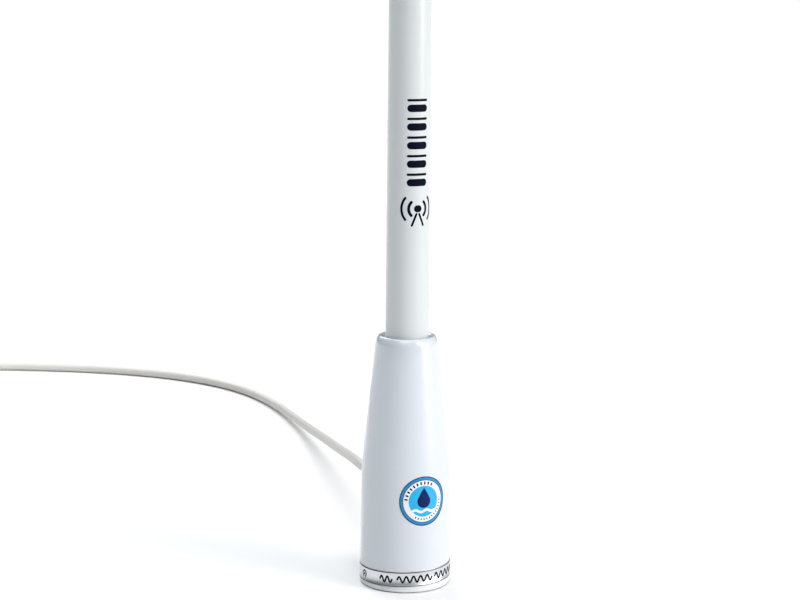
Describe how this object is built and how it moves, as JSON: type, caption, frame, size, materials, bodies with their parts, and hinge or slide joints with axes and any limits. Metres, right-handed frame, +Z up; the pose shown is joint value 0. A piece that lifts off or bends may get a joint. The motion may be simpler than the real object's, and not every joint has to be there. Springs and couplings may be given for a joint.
{
  "type": "omnidirectional whip antenna",
  "caption": "White tapering fibreglass whip in a tapered moulded base with a threaded socket underneath, a foil band, a round sticker and a coiled coaxial cable ending in a screw-on plug.",
  "frame": {"origin": "centre of the threaded socket's mouth, in the base's bottom face", "axes": "+Z up along the whip, -Y to the front of the base, the cable leaves at the rear towards +Y"},
  "size_m": [0.4031, 0.4806, 1.5],
  "materials": {
    "gloss_white": "gloss white moulding",
    "foot_white": "semi-gloss white moulding",
    "bush_metal": "nickel-plated brass",
    "black_rubber": "matt black rubber",
    "foil": "satin metal foil",
    "badge_film": "printed glossy film",
    "seal_grey": "grey silicone",
    "tube_white": "polished white lacquer over glass fibre",
    "cap_white": "white moulding",
    "rod_fibreglass": "translucent glass fibre rod",
    "copper": "enamelled copper",
    "steel_wire": "drawn steel",
    "brass": "machined brass",
    "resin": "cast resin",
    "foam": "closed-cell foam",
    "board_green": "lacquered glass-epoxy board",
    "steel_screw": "zinc-plated steel",
    "ferrite": "ferrite",
    "ceramic": "ceramic disc",
    "boot_white": "white soft moulding",
    "cable_white": "white soft PVC jacket",
    "dielectric": "polyethylene core",
    "clip_nylon": "natural nylon",
    "tie_white": "nylon strap",
    "sleeve_black": "shrunk sleeve",
    "nickel": "nickel-plated brass",
    "insulator_brown": "moulded phenolic",
    "nickel_pin": "plated brass"
  },
  "bodies": {
    "antenna": {"base_housing": "gloss_white", "base_plug": "foot_white", "thread_bush": "bush_metal", "face_gasket": "black_rubber", "housing_oring": "black_rubber", "band_label": "foil", "round_label": "badge_film", "collar_seal": "seal_grey", "radome_tube": "tube_white", "tip_cap": "cap_white", "winding_former": "rod_fibreglass", "loading_winding": "copper", "whip_wire": "steel_wire", "whip_ferrule": "brass", "feed_ferrule": "brass", "feed_potting": "resin", "centring_discs": "foam", "matching_board": "board_green", "board_pillars": "brass", "board_screws": "steel_screw", "toroid_core": "ferrite", "toroid_winding": "copper", "board_capacitors": "ceramic", "feed_wire": "copper", "cable_boot": "boot_white", "inner_cable": "cable_white", "cable_core": "dielectric", "ground_tag": "brass", "cable_clamp": "clip_nylon", "cord_tube": "cable_white", "cord_tail": "cable_white", "cord_coil": "cable_white", "coil_ties": "tie_white", "plug_sleeve": "sleeve_black", "plug_reducer": "nickel", "plug_body": "nickel", "plug_insulator": "insulator_brown", "plug_pin": "nickel_pin"},
    "coupling_nut": {"plug_nut": "nickel"}
  },
  "joints": [
    {"name": "nut_turn", "type": "hinge", "parent": "antenna", "child": "coupling_nut", "pos_m": [-0.35209, 0.27762, 0.0093], "axis": [0.2588, -0.9659, 0], "continuous": true}
  ]
}
